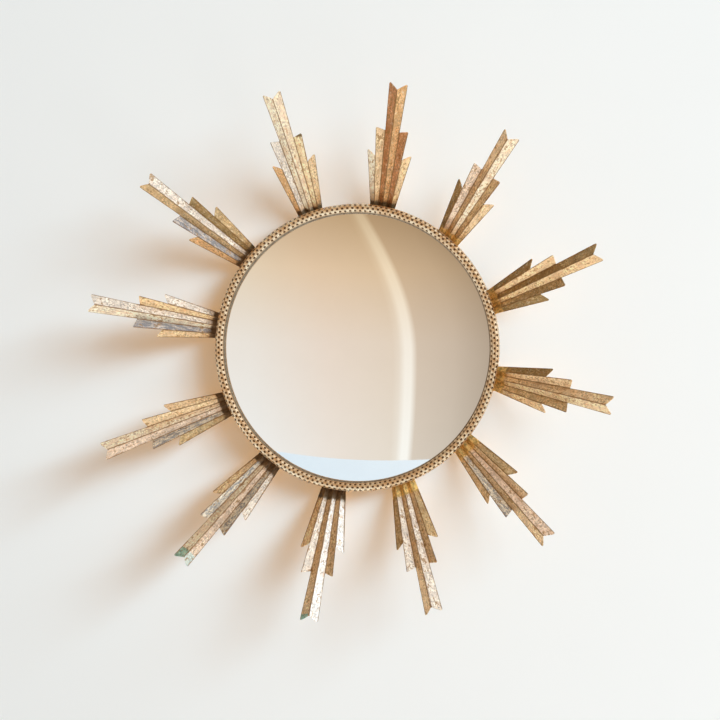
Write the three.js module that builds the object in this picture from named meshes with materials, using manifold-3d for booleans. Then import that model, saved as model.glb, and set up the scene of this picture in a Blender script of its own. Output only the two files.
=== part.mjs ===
// A sunburst wall mirror: a convex glass in a pierced half-round rim, a shallow sheet-metal pan
// behind it, and twelve pleated sheet-metal rays that lean forward from behind the rim.
// Millimetres, +Z up. The wall is the plane y = 0, and the mirror faces -Y.

import * as THREE from 'three';
import { mergeVertices } from 'three/addons/utils/BufferGeometryUtils.js';
import Module from 'manifold-3d';

// Driving dimensions. Radii are from the mirror's axis, depths are out from the wall.
const RIM_RADIUS = 155;
const RIM_BAND = 11.5;
const GLASS_THICKNESS = 3;
const GLASS_BULGE = 18;
const PAN_DEPTH = 19.4;
const PAN_SHEET = 1.2;
const GAP = 0.3;

// The rim: a half-round band pierced by three staggered rows of holes.
const HOLES_PER_ROW = 170;
const HOLE_ROW_ANGLE = 50;
const HOLE_DIMPLE = 1.0;
const RIM_SEAT = 8;
const RIM_FOOT_RISE = 1.2;

// The pan: a flat back, a rounded corner, a straight wall and a flange under the rim.
const PAN_WALL_RADIUS = 146;
const PAN_CORNER = { across: 10, deep: 5 };
const PAN_CORNER_STEPS = 3;
const PAN_FLANGE_RADIUS = RIM_RADIUS - 1;

// The keyhole that drops over a nail: a round entry below a narrow slot.
const KEYHOLE_HEIGHT = 96;
const KEYHOLE_ENTRY_RADIUS = 5.5;
const KEYHOLE_SLOT_WIDTH = 5.6;
const KEYHOLE_SLOT_RISE = 14;

// The rays: six facets each, fanned from the root, three on each side of the middle ridge. Their
// ring sits a little lower than the rim.
const RAY_COUNT = 12;
const RAY_SHEET = 0.8;
const RAY_ROOT_RADIUS = 154.5;
const RAY_ROOT_DEPTH = 12.8;
const RAY_TUCK = 14;
const RAY_RING_DROP = 3.6;
const FACET_LENGTHS = [148, 97.5, 68.5];
const FACET_FLARES = [0.037, 0.052, 0.074];
const FACET_ROOT_WIDTH = 4.3;
const FACET_CUT_BACK = 5;
const PLEAT_ANGLE = 36;
const PLEAT_FLARE = 0.045;

// How each ray was bent by hand, in degrees, clockwise from the one just left of the top. Shift is
// its place along the rim, lean is its tilt off the wall, swing turns it sideways, roll twists it.
const FIRST_RAY = 110;
const RAY_BENDS = [
  { shift: -1, lean: 30, swing: -5, roll: 3 },
  { shift: 0, lean: 29, swing: -2, roll: 3 },
  { shift: 1, lean: 30, swing: 3, roll: -2 },
  { shift: 0, lean: 31, swing: 3, roll: 0 },
  { shift: -1, lean: 32, swing: 0, roll: 2 },
  { shift: -1, lean: 28, swing: -3, roll: 2 },
  { shift: -1, lean: 27, swing: -1, roll: 3 },
  { shift: 0, lean: 26, swing: 3, roll: 1 },
  { shift: 1, lean: 26, swing: 0, roll: -5 },
  { shift: 2, lean: 27, swing: 0, roll: -1 },
  { shift: 0, lean: 30, swing: -1, roll: -2 },
  { shift: 0, lean: 30, swing: 0, roll: -1 },
];

// Resolution of the round pieces.
const ROUND_STEPS = 64;
const DOME_STEPS = 5;
const KEYHOLE_STEPS = 10;

const wasm = await Module();
wasm.setup();

const degrees = THREE.MathUtils.degToRad;
const glassRadius = RIM_RADIUS - RIM_SEAT - GAP;
const glassBackDepth = PAN_DEPTH + GAP;
const glassFrontDepth = glassBackDepth + GLASS_THICKNESS;

const gilt = new THREE.MeshStandardMaterial({ color: 0xc9a06a, roughness: 0.42, metalness: 0.9 });
const rimGilt = new THREE.MeshStandardMaterial({ color: 0xb98f63, roughness: 0.38, metalness: 0.95 });
const silvering = new THREE.MeshStandardMaterial({ color: 0xe9e6df, roughness: 0.03, metalness: 1 });
const panPaint = new THREE.MeshStandardMaterial({ color: 0x7d6a4c, roughness: 0.6, metalness: 0.6 });

// Round pieces are turned from a profile of [radius, depth] pairs, with the wall at depth 0.
function turned(profile, steps) {
  const points = profile.map(([radius, depth]) => new THREE.Vector2(radius, depth));
  return new THREE.LatheGeometry(points, steps).rotateX(Math.PI / 2);
}

// A closed solid for cutting, from a geometry whose doubled vertices are merged.
function solidFrom(geometry) {
  const bare = geometry.clone();
  bare.deleteAttribute('normal');
  bare.deleteAttribute('uv');
  const merged = mergeVertices(bare);
  const corners = merged.index.array;
  const kept = [];
  for (let i = 0; i < corners.length; i += 3) {
    const [a, b, c] = corners.slice(i, i + 3);
    if (a !== b && b !== c && c !== a) kept.push(a, b, c);
  }
  const mesh = new wasm.Mesh({
    numProp: 3,
    vertProperties: Float32Array.from(merged.attributes.position.array),
    triVerts: Uint32Array.from(kept),
  });
  return new wasm.Manifold(mesh);
}

function geometryFrom(solid) {
  const mesh = solid.getMesh();
  const geometry = new THREE.BufferGeometry();
  geometry.setAttribute('position', new THREE.BufferAttribute(mesh.vertProperties, 3));
  geometry.setIndex(new THREE.BufferAttribute(mesh.triVerts, 1));
  geometry.computeVertexNormals();
  return geometry;
}

function cut(geometry, tool) {
  return geometryFrom(solidFrom(geometry).subtract(solidFrom(tool)));
}

// Points along the glass dome from the axis to its edge, at the given edge depth.
function domeArc(edgeDepth) {
  const sphere = (glassRadius ** 2 + GLASS_BULGE ** 2) / (2 * GLASS_BULGE);
  const spread = Math.asin(glassRadius / sphere);
  return Array.from({ length: DOME_STEPS + 1 }, (unused, step) => {
    const angle = (spread * step) / DOME_STEPS;
    return [sphere * Math.sin(angle), edgeDepth + GLASS_BULGE - sphere * (1 - Math.cos(angle))];
  });
}

function glassGeometry() {
  const profile = [...domeArc(glassBackDepth), ...domeArc(glassFrontDepth).reverse()];
  return turned(profile, ROUND_STEPS);
}

// Two columns of the band for each hole: every row has a dimple in every second column, and the
// crest row is staggered against the two rows beside it.
function rimGeometry() {
  const tube = RIM_BAND / 2;
  const middle = RIM_RADIUS - tube;
  const footDepth = glassFrontDepth + RIM_FOOT_RISE;
  const onBand = (angle, radius) => [
    middle + radius * Math.sin(degrees(angle)),
    footDepth + radius * Math.cos(degrees(angle)),
  ];
  const rows = [-HOLE_ROW_ANGLE, 0, HOLE_ROW_ANGLE];
  const seat = RIM_RADIUS - RIM_SEAT;
  const profile = [
    [seat, footDepth],
    [seat, PAN_DEPTH + GAP],
    [RIM_RADIUS, PAN_DEPTH + GAP],
    onBand(90, tube),
    ...rows.map((angle) => onBand(-angle, tube)),
    onBand(-90, tube),
    [seat, footDepth],
  ];
  const firstRow = 4;
  const columns = 2 * HOLES_PER_ROW;
  const geometry = turned(profile, columns);
  const place = geometry.attributes.position;
  const point = new THREE.Vector3();
  for (let column = 0; column <= columns; column += 1) {
    for (let row = 0; row < rows.length; row += 1) {
      if ((column + row) % 2) continue;
      const index = column * profile.length + firstRow + row;
      point.fromBufferAttribute(place, index);
      const [radius, depth] = onBand(-rows[row], tube - HOLE_DIMPLE);
      const shrink = radius / Math.hypot(point.x, point.y);
      place.setXYZ(index, point.x * shrink, point.y * shrink, depth);
    }
  }
  geometry.computeVertexNormals();
  return geometry;
}

// Quarter-round corner of the pan from its flat back to its wall, drawn in by the inset given.
function panCorner(inset) {
  const across = PAN_CORNER.across - inset;
  const deep = PAN_CORNER.deep - inset;
  return Array.from({ length: PAN_CORNER_STEPS + 1 }, (unused, step) => {
    const angle = ((Math.PI / 2) * step) / PAN_CORNER_STEPS;
    const radius = PAN_WALL_RADIUS - PAN_CORNER.across + across * Math.sin(angle);
    return [radius, PAN_CORNER.deep - deep * Math.cos(angle)];
  });
}

function keyholeTool() {
  const outline = new THREE.Shape();
  const half = KEYHOLE_SLOT_WIDTH / 2;
  const shoulder = Math.asin(half / KEYHOLE_ENTRY_RADIUS);
  const slotTop = KEYHOLE_HEIGHT + KEYHOLE_SLOT_RISE;
  outline.absarc(0, slotTop, half, 0, Math.PI, false);
  outline.absarc(
    0, KEYHOLE_HEIGHT, KEYHOLE_ENTRY_RADIUS, Math.PI / 2 + shoulder, Math.PI * 2.5 - shoulder, false,
  );
  outline.closePath();
  const depth = 4 * PAN_SHEET;
  const settings = { depth, bevelEnabled: false, curveSegments: KEYHOLE_STEPS };
  return new THREE.ExtrudeGeometry(outline, settings).translate(0, 0, -depth / 2);
}

function panGeometry() {
  const profile = [
    [0, 0],
    ...panCorner(0),
    [PAN_WALL_RADIUS, PAN_DEPTH - PAN_SHEET],
    [PAN_FLANGE_RADIUS, PAN_DEPTH - PAN_SHEET],
    [PAN_FLANGE_RADIUS, PAN_DEPTH],
    [PAN_WALL_RADIUS - PAN_SHEET, PAN_DEPTH],
    ...panCorner(PAN_SHEET).reverse(),
    [0, PAN_SHEET],
  ];
  return cut(turned(profile, ROUND_STEPS), keyholeTool());
}

// A point on a fold line of a ray: line 0 is the middle ridge, and every second line is a valley.
// The ray's own axes are x to the right, y outward along the ray and z towards the viewer.
function foldPoint(line, along) {
  const side = Math.sign(line);
  const count = Math.abs(line);
  let across = 0;
  for (let facet = 0; facet < count; facet += 1) {
    across += FACET_ROOT_WIDTH + FACET_FLARES[facet] * along;
  }
  const pleat = (FACET_ROOT_WIDTH + PLEAT_FLARE * along) / 2 * Math.tan(degrees(PLEAT_ANGLE));
  return new THREE.Vector3(side * across, along, count % 2 ? -pleat : pleat);
}

// Gives a patch of triangles a thickness: a copy behind it, and a wall along every open edge.
function thickened(points, faces, thickness) {
  const count = points.length;
  const back = points.map((point) => point.clone().setZ(point.z - thickness));
  const triangles = [...faces];
  const edges = new Set();
  const sidesOf = ([a, b, c]) => [[a, b], [b, c], [c, a]];
  for (const face of faces) {
    const [a, b, c] = face;
    triangles.push([a + count, c + count, b + count]);
    sidesOf(face).forEach((edge) => edges.add(edge.join()));
  }
  for (const [a, b] of faces.flatMap(sidesOf)) {
    if (edges.has([b, a].join())) continue;
    triangles.push([b, a, a + count], [b, a + count, b + count]);
  }
  const geometry = new THREE.BufferGeometry().setFromPoints([...points, ...back]);
  geometry.setIndex(triangles.flat());
  geometry.computeVertexNormals();
  return geometry;
}

// One ray as a pleated sheet. Each facet is cut back from its outer corner towards the middle, so
// the long pair ends in a notch, and the middle and short facets step down beside it.
function rayGeometry() {
  const points = [];
  const places = new Map();
  const corner = (line, along) => {
    const key = `${line},${along}`;
    if (!places.has(key)) {
      places.set(key, points.length);
      points.push(foldPoint(line, along));
    }
    return places.get(key);
  };
  const faces = [];
  for (const side of [-1, 1]) {
    FACET_LENGTHS.forEach((length, facet) => {
      const inner = side * facet;
      const outer = side * (facet + 1);
      const outline = [corner(inner, -RAY_TUCK), corner(outer, -RAY_TUCK)];
      if (facet + 1 < FACET_LENGTHS.length) {
        outline.push(corner(outer, FACET_LENGTHS[facet + 1] - FACET_CUT_BACK));
      }
      outline.push(corner(outer, length), corner(inner, length - FACET_CUT_BACK));
      if (side < 0) outline.reverse();
      for (let i = 1; i + 1 < outline.length; i += 1) {
        faces.push([outline[0], outline[i], outline[i + 1]]);
      }
    });
  }
  return thickened(points, faces, RAY_SHEET / Math.cos(degrees(PLEAT_ANGLE)));
}

// Trims a ray's root to the round wall of the pan, which it is fixed to behind the rim.
function trimmedRay(placement) {
  const wall = new THREE.CylinderGeometry(
    PAN_WALL_RADIUS + GAP, PAN_WALL_RADIUS + GAP, 4 * PAN_DEPTH, ROUND_STEPS,
  ).rotateX(Math.PI / 2);
  wall.applyMatrix4(placement.clone().invert());
  return cut(rayGeometry(), wall);
}

function addRay(face, number, bend) {
  const spoke = new THREE.Group();
  spoke.position.y = -RAY_RING_DROP;
  spoke.rotation.z = degrees(FIRST_RAY - (360 / RAY_COUNT) * number + bend.shift - 90);
  face.add(spoke);
  const ray = new THREE.Mesh();
  ray.name = `ray_${String(number + 1).padStart(2, '0')}`;
  ray.material = gilt;
  ray.position.set(0, RAY_ROOT_RADIUS, RAY_ROOT_DEPTH);
  ray.rotation.set(degrees(bend.lean), degrees(bend.roll), degrees(bend.swing), 'XZY');
  spoke.add(ray);
  ray.updateWorldMatrix(true, false);
  ray.geometry = trimmedRay(ray.matrixWorld);
}

function addPiece(face, name, geometry, material) {
  const piece = new THREE.Mesh(geometry, material);
  piece.name = name;
  face.add(piece);
}

// The mirror is laid out face up, with x to the right and y up the wall, and is then hung.
const face = new THREE.Group();
addPiece(face, 'back_pan', panGeometry(), panPaint);
addPiece(face, 'mirror_glass', glassGeometry(), silvering);
addPiece(face, 'pierced_rim', rimGeometry(), rimGilt);
RAY_BENDS.forEach((bend, number) => addRay(face, number, bend));

const mirror = new THREE.Group();
face.rotation.x = Math.PI / 2;
mirror.add(face);

export default mirror;
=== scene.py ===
import math

import bpy
from mathutils import Matrix, Vector, noise
from mathutils.geometry import delaunay_2d_cdt


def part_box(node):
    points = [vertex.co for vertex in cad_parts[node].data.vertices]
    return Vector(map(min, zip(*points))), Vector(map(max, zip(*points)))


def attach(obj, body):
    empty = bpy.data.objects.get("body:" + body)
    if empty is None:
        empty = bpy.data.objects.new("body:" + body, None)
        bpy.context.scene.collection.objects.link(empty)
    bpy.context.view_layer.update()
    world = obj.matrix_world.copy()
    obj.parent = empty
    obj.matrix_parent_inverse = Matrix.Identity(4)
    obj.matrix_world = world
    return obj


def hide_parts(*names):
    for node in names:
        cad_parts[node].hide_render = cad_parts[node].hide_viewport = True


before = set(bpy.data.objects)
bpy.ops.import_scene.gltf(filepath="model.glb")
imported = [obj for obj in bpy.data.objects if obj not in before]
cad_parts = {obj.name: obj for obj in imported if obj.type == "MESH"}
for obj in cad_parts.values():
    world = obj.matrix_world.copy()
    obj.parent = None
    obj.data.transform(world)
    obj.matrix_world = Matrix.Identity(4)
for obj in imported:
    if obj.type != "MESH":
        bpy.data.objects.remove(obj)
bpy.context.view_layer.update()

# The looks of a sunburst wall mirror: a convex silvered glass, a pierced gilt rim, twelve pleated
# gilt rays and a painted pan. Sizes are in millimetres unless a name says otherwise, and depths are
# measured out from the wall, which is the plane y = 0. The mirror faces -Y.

MM = 0.001
FULL_TURN = 360

# The rays, as they are cut and folded: six facets each, three on each side of the middle ridge.
RAY_COUNT = 12
RAY_SHEET = 0.7
RAY_ROOT_RADIUS = 154.5
RAY_ROOT_DEPTH = 12.8
RAY_RING_DROP = 3.6
FACET_LENGTHS = (148, 97.5, 68.5)
FACET_FLARES = (0.037, 0.052, 0.074)
FACET_ROOT_WIDTH = 4.3
FACET_CUT_BACK = 5
SIDE_FACETS = len(FACET_LENGTHS)
PLEAT_SLOPE = math.tan(math.radians(36))
PLEAT_FLARE = 0.045

# A ray's root, which ends at the pan's wall. It is as wide as the fold lines some way behind the
# ray's start, and the place where it meets the wall is found by halving a search.
PAN_WALL_RADIUS = 146
ROOT_GAP = 0.4
ROOT_WIDTH_PLACE = -6
ROOT_POINTS = 24
ROOT_SEARCH = 20.0
ROOT_HALVINGS = 24

# How each ray was bent by hand, in degrees, clockwise from the one just left of the top: its place
# along the rim, its lean off the wall, its sideways swing and its twist.
FIRST_RAY = 110
RAY_BENDS = (
    (-1, 30, -5, 3),
    (0, 29, -2, 3),
    (1, 30, 3, -2),
    (0, 31, 3, 0),
    (-1, 32, 0, 2),
    (-1, 28, -3, 2),
    (-1, 27, -1, 3),
    (0, 26, 3, 1),
    (1, 26, 0, -5),
    (2, 27, 0, -1),
    (0, 30, -1, -2),
    (0, 30, 0, -1),
)

# Softness of the rays' sheet, and its low dents.
FOLD_RADIUS = 0.45
FOLD_WEAR_WIDTH = 1.4
CORNER_RADIUS = 2.8
CORNER_STEPS = 6
DENT_DEPTH = 0.35
DENT_SIZE = 17
RAY_SHARP_ANGLE = 50

# Fineness of the rays' sheet: points stand in rows, at these distances from each fold and at these
# shares of a facet's width, and keep clear of the cut edge and its tip.
SHEET_STEP = 2.2
FIRST_ROW_SHARE = 0.6
FOLD_ROWS = (0.35, 0.9)
MIDDLE_ROW_SHARES = (0.3, 0.5, 0.7)
EDGE_CLEARANCE = 0.8
TIP_CLEARANCE = 1.5
PLAN_MERGE = 0.02

# Each ray takes its own slice of the noise for its dents and of the patterns of its leaf.
DENT_SLICE = 7.3
LEAF_SLICE = 40.0

# Leaf finishes: the colour of the metal, and how far it is worn to grey. On the facets these colours also
# carry painted shade and painted highlights, and one of them is painted shade for the roots.
FINISHES = {
    "cream": ((1.0, 0.82, 0.62), 0.1),
    "pale": ((1.0, 0.79, 0.58), 0.1),
    "honey": ((1.0, 0.75, 0.48), 0.1),
    "orange": ((0.97, 0.66, 0.38), 0.05),
    "gold": ((0.84, 0.59, 0.35), 0.1),
    "pink": ((0.76, 0.57, 0.43), 0.15),
    "amber": ((0.74, 0.44, 0.21), 0.05),
    "bronze": ((0.72, 0.50, 0.27), 0.05),
    "copper": ((0.58, 0.28, 0.13), 0.05),
    "brown": ((0.54, 0.38, 0.20), 0.05),
    "umber": ((0.38, 0.25, 0.11), 0.0),
    "moss": ((0.16, 0.12, 0.06), 0.05),
    "white": ((1.0, 0.97, 0.93), 0.1),
    "silver": ((0.82, 0.72, 0.62), 0.4),
    "steel": ((0.86, 0.74, 0.58), 0.8),
    "slate": ((0.62, 0.54, 0.48), 0.9),
    "soot": ((0.15, 0.09, 0.04), 0.0),
    "brass": ((1.0, 0.62, 0.20), 0.0),
    "teal": ((0.33, 0.52, 0.42), 0.1),
    "mint": ((0.59, 0.64, 0.58), 0.2),
}

# The finish of each ray's six facets, from its left to its right as seen looking outward. Each is partly
# the leaf's own colour and partly painted shade and painted highlights: darker on facets turned from the
# light, whiter on those turned to it.
RAY_FINISHES_AND_SHADING = (
    "amber silver cream pale honey gold",
    "cream gold copper amber copper orange",
    "umber pink gold pale gold gold",
    "umber orange umber orange brown umber",
    "umber gold gold honey bronze orange",
    "brown gold pink gold steel bronze",
    "brown gold silver gold silver brown",
    "white gold white gold silver orange",
    "silver steel pink pale steel gold",
    "brown steel pink pale gold gold",
    "gold slate cream silver orange silver",
    "amber slate bronze silver umber brown",
)

# Tips with another finish: by ray number and facet number, the finish and its length.
RAY_TIPS = {
    (1, 5): ("moss", 4),
    (8, 4): ("teal", 7),
    (9, 3): ("mint", 14),
    (9, 4): ("teal", 14),
}
NO_TIP_FINISH = "gold"
TIP_BLUR = 3

# The hidden backs of the rays have one plain finish.
BACK_FINISH = "bronze"

# The roots' finish, bare brass on five rays at the right and painted shade on the rest, and how far along
# a ray it reaches.
ROOT_BRASS_AND_SHADE = "soot soot brass brass brass brass brass soot soot soot soot soot".split()
ROOT_REACH = (6, 14)

# The rim: a half-round band of thin metal, pierced by three staggered rows of holes, with a narrow
# plain lip at the glass.
RIM_BAND = 10.5
RIM_LIP = 1.2
SEAT_DROP = 5.75
LIP_RISE = 0.6
LIP_GLASS_GAP = 0.25
LIP_MARGIN = 0.1
RIM_SHEET = 0.6
RIM_EDGE_ANGLE = 80
RIM_EDGE_WAVE = 0.2
RIM_SHARP_ANGLE = 60
rim_low, rim_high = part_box("pierced_rim")
rim_radius = rim_high.x / MM
rim_tube = (RIM_BAND - RIM_LIP) / 2
rim_middle = rim_radius - rim_tube
rim_foot = -rim_low.y / MM - rim_tube
rim_skirt = -rim_high.y / MM
lip_radius = rim_radius - RIM_BAND
seat_depth = -rim_low.y / MM - SEAT_DROP

# The holes, each in a square cell of the band. Three rings of points lie round a hole: how far each
# stands between the hole's edge and the cell's edge, and its lift off the band.
HOLES_PER_ROW = 170
HOLE_ROWS = (-1, 0, 1)
HOLE_ROW_ANGLE = 45
HOLE_RADIUS = 0.95
HOLE_SIDES = 16
RING_BLENDS = (0, 0.45, 1)
RING_LIFTS = (-0.35, 0.08, -0.06)

# The way round a cell starts at a corner: that corner's share of a turn, and the share of the way at
# which a ring's first point lies.
CELL_SIDES = 4
CELL_CORNER_TURN = 7 / 8
FIRST_POINT_SHARE = 7 / 8

# The glass and the pan.
GLASS_BULGE = 18
GLASS_THICKNESS = 3
GLASS_FRONT_STEPS = 48
GLASS_BACK_STEPS = 12
GLASS_FIRST_ANGLE = 1e-5
PAN_SHEET = 1.2
PAN_CORNER = (10, 5)
PAN_CORNER_STEPS = 10
PAN_SHARP_ANGLE = 40
KEYHOLE_HEIGHT = 96
KEYHOLE_ENTRY_RADIUS = 5.5
KEYHOLE_SLOT_WIDTH = 5.6
KEYHOLE_SLOT_RISE = 14
KEYHOLE_STEPS = 12
KEYHOLE_INSIDE = 0.98
KEYHOLE_TOP_INSIDE = 0.96
KEYHOLE_MERGE = 1e-4
ROUND_STEPS = 200

# Meshes: the angle over which an edge stays sharp, the distances within which points are merged, and
# the kind of triangulation that keeps only what lies inside an outline.
SHARP_ANGLE = 35
FINE_WELD = 1e-4
SEAM_WELD = 1e-3
INSIDE_ONLY = 1

# The camera, by its direction from the glass and by how far its aim lies right of and above the middle.
CAMERA_AZIMUTH = 9.19
CAMERA_ELEVATION = 1.13
CAMERA_DISTANCE = 2047.6
CAMERA_LENS = 95
CAMERA_AIM = (4.5, -13.1)

# The wall, which stands just behind the pan, and the floor.
WALL_GAP = 0.8
WALL_REACH = 4000
WALL_TONE = (0.93, 0.925, 0.915)
WALL_CLOSE_RAY = 4
FLOOR_DROP = 1300
FLOOR_REACH = 2300
FLOOR_TONE = (0.10, 0.10, 0.10)
FLOOR_GLOW_RANGE = (-1250, -700)
FLOOR_FAR_GLOW = (0.66, 0.77, 0.85, 1)
FLOOR_NEAR_GLOW = (1.08, 1.08, 1.04, 1)

# Tones of the room ahead by the angle to the right of straight ahead, as seen from the mirror, and
# their change by the angle above level, in degrees.
ROOM_TONES = (
    (-60, (0.90, 0.86, 0.80)),
    (-34, (0.86, 0.81, 0.74)),
    (-15, (0.84, 0.72, 0.61)),
    (1, (0.79, 0.67, 0.54)),
    (2.6, (0.96, 0.89, 0.78)),
    (5, (0.96, 0.89, 0.78)),
    (5.5, (0.69, 0.57, 0.45)),
    (14, (0.62, 0.51, 0.40)),
    (30, (0.36, 0.28, 0.20)),
    (60, (0.90, 0.88, 0.85)),
)
HEIGHT_TONES = (
    (-25, (1.04, 1.12, 1.20)),
    (0, (1.0, 1.0, 1.0)),
    (17, (0.94, 0.83, 0.67)),
    (30, (0.69, 0.56, 0.39)),
    (60, (0.50, 0.40, 0.30)),
)

# The tones ahead shift to the side above and below a level: the level, the shift per square degree,
# and how much of a degree below the level counts.
BAND_LEVEL = -3
BAND_CURVE = 0.0122
BAND_LOWER = -0.45

# Tones of the room's sides as seen along the wall, by the angle up from the right, in degrees, and
# where they pass into those ahead.
SIDE_TONES = (
    (-180, (0.44, 0.38, 0.31)),
    (-162, (0.75, 0.69, 0.60)),
    (-148, (1.40, 1.33, 1.24)),
    (-136, (1.42, 1.36, 1.28)),
    (-80, (1.25, 1.24, 1.22)),
    (-30, (1.20, 1.20, 1.18)),
    (25, (1.35, 1.35, 1.33)),
    (60, (1.15, 1.13, 1.10)),
    (95, (0.78, 0.72, 0.64)),
    (125, (0.50, 0.44, 0.36)),
    (155, (0.34, 0.28, 0.21)),
    (180, (0.44, 0.38, 0.31)),
)
SIDE_BLEND = (0.55, 0.75)
RAMP_MIDDLE = 0.5

# The plain backdrop, and the weak light from all around, stronger from behind the wall's plane.
BACKDROP_TONE = (0.88, 0.87, 0.86, 1)
FILL_TONE = (0.80, 0.95, 1.0, 1)
FILL_EDGE = (-0.1, 0.1)
FILL_STRENGTHS = (0.2, 0.7)

# A row of cool window lights, by their angle off straight ahead and their power in watts.
WINDOW_LIGHTS = ((46, 375), (57, 650), (68, 910))
WINDOW_CLOCK = 27
WINDOW_DISTANCE = 12000
WINDOW_SIZE = 4200
WINDOW_TONE = (0.53, 0.81, 1.0)

# A warm light near the camera and a weak one from the lower right: the angle off straight ahead, the
# angle up from the right around that line, the distance, the size and the power in watts.
FRONT_LIGHT = (9.25, 7, 3500, 300, 51)
FRONT_TONE = (1.0, 0.52, 0.16)
BOUNCE_LIGHT = (62, -40, 1925, 900, 3.5)
BOUNCE_TONE = (0.92, 0.96, 1.0)


# Meshes

def add_object(name, points, faces, materials, sharp_angle=SHARP_ANGLE):
    """A smooth-shaded mesh object from points in metres, with edges over the angle kept sharp."""
    mesh = bpy.data.meshes.new(name)
    mesh.from_pydata([tuple(point) for point in points], [], faces)
    mesh.update()
    mesh.shade_smooth()
    mesh.set_sharp_from_angle(angle=math.radians(sharp_angle))
    for material in materials:
        mesh.materials.append(material)
    made = bpy.data.objects.new(name, mesh)
    bpy.context.scene.collection.objects.link(made)
    return made


def skin_normals(points, faces):
    normals = [Vector() for point in points]
    for face in faces:
        first, second, third = (points[index] for index in face[:3])
        lean = (second - first).cross(third - first)
        for index in face:
            normals[index] += lean
    return [normal.normalized() for normal in normals]


def thickened(points, faces, thickness):
    """A closed sheet from a skin: a copy behind it, and a wall along every open edge."""
    count = len(points)
    normals = skin_normals(points, faces)
    back = [point - normal * thickness for point, normal in zip(points, normals)]
    back_faces = [tuple(index + count for index in reversed(face)) for face in faces]
    edges = {(face[i - 1], face[i]) for face in faces for i in range(len(face))}
    walls = [(b, a, a + count, b + count) for a, b in edges if (b, a) not in edges]
    return points + back, list(faces) + back_faces + sorted(walls)


def welded(points, faces, step):
    """Merges points that lie on each other, to the given step."""
    places = {}
    new_index = []
    for point in points:
        key = tuple(round(value / step) for value in point)
        new_index.append(places.setdefault(key, len(places)))
    kept = [None] * len(places)
    for point, index in zip(points, new_index):
        kept[index] = point
    return kept, [tuple(new_index[index] for index in face) for face in faces]


def ring_point(around, radius, depth):
    """A point at an angle around the mirror's axis, a radius from it and a depth off the wall."""
    return Vector((radius * math.cos(around), -depth, radius * math.sin(around)))


def strip_faces(steps, width, start=0):
    """Faces between neighbouring strips of points that stand round the mirror's axis."""
    faces = []
    for step in range(steps):
        here = start + step * width
        there = start + (step + 1) % steps * width
        faces += [(here + i, here + i + 1, there + i + 1, there + i) for i in range(width - 1)]
    return faces


def turned(profile, steps):
    """The skin of a profile of (radius, depth) pairs turned round the mirror's axis."""
    points = []
    for step in range(steps):
        around = 2 * math.pi * step / steps
        points += [ring_point(around, radius, depth) for radius, depth in profile]
    return points, strip_faces(steps, len(profile))


def face_centre(places, face):
    return sum((places[index] for index in face), Vector((0, 0))) / len(face)


def set_attribute(piece, name, kind, domain, values):
    """A named attribute of a mesh, from one value for each point or face."""
    attribute = piece.data.attributes.new(name, kind, domain)
    key = {"FLOAT": "value", "FLOAT_COLOR": "color", "FLOAT_VECTOR": "vector"}[kind]
    flat = [number for value in values for number in (value if kind != "FLOAT" else (value,))]
    attribute.data.foreach_set(key, flat)


# Shader nodes

def set_input(tree, made, name, value):
    """Links a node's input to a socket, or sets it to a value."""
    if isinstance(value, bpy.types.NodeSocket):
        tree.links.new(value, made.inputs[name])
    else:
        made.inputs[name].default_value = value


def node(tree, kind, inputs=None, **settings):
    """A shader node with its settings, and its inputs linked or set."""
    made = tree.nodes.new("ShaderNode" + kind)
    for name, value in settings.items():
        setattr(made, name, value)
    for name, value in (inputs or {}).items():
        set_input(tree, made, name, value)
    return made


def feed(tree, shader, **inputs):
    """Links or sets the shader's inputs, with _ for a space in a name."""
    for name, value in inputs.items():
        set_input(tree, shader, name.replace("_", " "), value)


def math_node(tree, operation, first, second):
    return node(tree, "Math", {0: first, 1: second}, operation=operation).outputs[0]


def weighted_sum(tree, values, weights):
    parts = [math_node(tree, "MULTIPLY", value, weight) for value, weight in zip(values, weights)]
    total = parts[0]
    for part in parts[1:]:
        total = math_node(tree, "ADD", total, part)
    return total


def mix_colour(tree, share, first, second, blend="MIX"):
    """Two colours, mixed or multiplied by a share of the second."""
    made = node(tree, "Mix", {0: share, 6: first, 7: second}, data_type="RGBA", blend_type=blend)
    return made.outputs[2]


def smooth_step(tree, value, low, high, start=0.0, end=1.0):
    """A soft step from start to end, as the value goes from low to high."""
    inputs = {"Value": value, "From Min": low, "From Max": high, "To Min": start, "To Max": end}
    return node(tree, "MapRange", inputs, interpolation_type="SMOOTHSTEP").outputs[0]


def noise_node(tree, place, scale, detail=4.0, roughness=0.6):
    """A noise pattern, with its scale per unit of the place."""
    inputs = {"Vector": place, "Scale": scale, "Detail": detail, "Roughness": roughness}
    return node(tree, "TexNoise", inputs).outputs["Fac"]


def bump_node(tree, height, strength, depth):
    """Relief in the shading, from a height pattern and a depth in millimetres."""
    inputs = {"Height": height, "Strength": strength, "Distance": depth * MM}
    return node(tree, "Bump", inputs).outputs[0]


def stretched(tree, place, factors):
    return node(tree, "VectorMath", {0: place, 1: factors}, operation="MULTIPLY").outputs[0]


def attribute_output(tree, name, output="Fac"):
    """A named attribute of the mesh, as a value, a colour or a vector."""
    return node(tree, "Attribute", attribute_name=name).outputs[output]


def object_place(tree):
    """The place on the object, in millimetres."""
    place = node(tree, "TexCoord").outputs["Object"]
    return stretched(tree, place, (1 / MM, 1 / MM, 1 / MM))


def new_material(name):
    """A material with only its output and one shader."""
    material = bpy.data.materials.new(name)
    material.use_nodes = True
    tree = material.node_tree
    tree.nodes.clear()
    shader = node(tree, "BsdfPrincipled")
    node(tree, "OutputMaterial", {"Surface": shader.outputs[0]})
    return material, tree, shader


# Materials

# A name that ends in STEP holds a soft step: the two values of a pattern that it runs between, and
# what it gives there where that isn't 0 and 1. A name that ends in NOISE holds a pattern's scale per
# millimetre, its detail and its roughness, and one that ends in BUMP a strength and a depth.

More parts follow.
